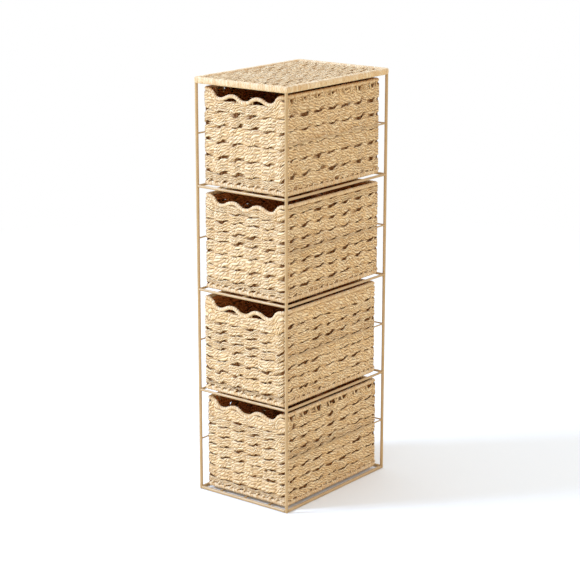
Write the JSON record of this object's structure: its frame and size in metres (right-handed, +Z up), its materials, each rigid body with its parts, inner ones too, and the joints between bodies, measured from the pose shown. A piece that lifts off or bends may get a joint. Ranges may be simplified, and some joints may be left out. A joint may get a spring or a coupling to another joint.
{
  "type": "bathroom storage tower",
  "caption": "Tall narrow wire rack with a woven paper-rope top and stacked woven paper-rope baskets that slide out as drawers.",
  "frame": {"origin": "on the floor, under the middle of the tower", "axes": "+Z up, -Y towards the front where the baskets come out, +X to the right as seen from the front"},
  "size_m": [0.223, 0.323, 0.8195],
  "materials": {
    "rack_wire": "satin powder coat, beige",
    "basket_wire": "plain coated wire inside the rope",
    "rope_weave": "woven natural paper rope, matte",
    "rope_binding": "paper rope wound close round a wire, matte"
  },
  "bodies": {
    "rack": {"post_front_left": "rack_wire", "post_front_right": "rack_wire", "post_rear_left": "rack_wire", "post_rear_right": "rack_wire", "base_rails": "rack_wire", "top_rails": "rack_wire", "top_stakes": "basket_wire", "top_weave": "rope_weave", "top_rim": "rope_binding", "shelf_rails_1": "rack_wire", "shelf_rails_2": "rack_wire", "shelf_rails_3": "rack_wire", "runner_wires_1": "rack_wire", "runner_wires_2": "rack_wire", "runner_wires_3": "rack_wire", "runner_wires_4": "rack_wire", "guide_rails_1": "rack_wire", "guide_rails_2": "rack_wire", "guide_rails_3": "rack_wire", "guide_rails_4": "rack_wire"},
    "drawer_1": {"drawer_1_wire_frame": "basket_wire", "drawer_1_front_weave": "rope_weave", "drawer_1_left_weave": "rope_weave", "drawer_1_right_weave": "rope_weave", "drawer_1_rear_weave": "rope_weave", "drawer_1_bottom_weave": "rope_weave", "drawer_1_side_rim": "rope_binding", "drawer_1_front_rim": "rope_binding", "drawer_1_base_binding": "rope_binding"},
    "drawer_2": {"drawer_2_wire_frame": "basket_wire", "drawer_2_front_weave": "rope_weave", "drawer_2_left_weave": "rope_weave", "drawer_2_right_weave": "rope_weave", "drawer_2_rear_weave": "rope_weave", "drawer_2_bottom_weave": "rope_weave", "drawer_2_side_rim": "rope_binding", "drawer_2_front_rim": "rope_binding", "drawer_2_base_binding": "rope_binding"},
    "drawer_3": {"drawer_3_wire_frame": "basket_wire", "drawer_3_front_weave": "rope_weave", "drawer_3_left_weave": "rope_weave", "drawer_3_right_weave": "rope_weave", "drawer_3_rear_weave": "rope_weave", "drawer_3_bottom_weave": "rope_weave", "drawer_3_side_rim": "rope_binding", "drawer_3_front_rim": "rope_binding", "drawer_3_base_binding": "rope_binding"},
    "drawer_4": {"drawer_4_wire_frame": "basket_wire", "drawer_4_front_weave": "rope_weave", "drawer_4_left_weave": "rope_weave", "drawer_4_right_weave": "rope_weave", "drawer_4_rear_weave": "rope_weave", "drawer_4_bottom_weave": "rope_weave", "drawer_4_side_rim": "rope_binding", "drawer_4_front_rim": "rope_binding", "drawer_4_base_binding": "rope_binding"}
  },
  "joints": [
    {"name": "drawer_1_slide", "type": "slide", "parent": "rack", "child": "drawer_1", "axis": [0, -1, 0], "range_m": [-0.006, 0.24]},
    {"name": "drawer_2_slide", "type": "slide", "parent": "rack", "child": "drawer_2", "axis": [0, -1, 0], "range_m": [-0.006, 0.24]},
    {"name": "drawer_3_slide", "type": "slide", "parent": "rack", "child": "drawer_3", "axis": [0, -1, 0], "range_m": [-0.012, 0.24]},
    {"name": "drawer_4_slide", "type": "slide", "parent": "rack", "child": "drawer_4", "axis": [0, -1, 0], "range_m": [-0.006, 0.24]}
  ]
}
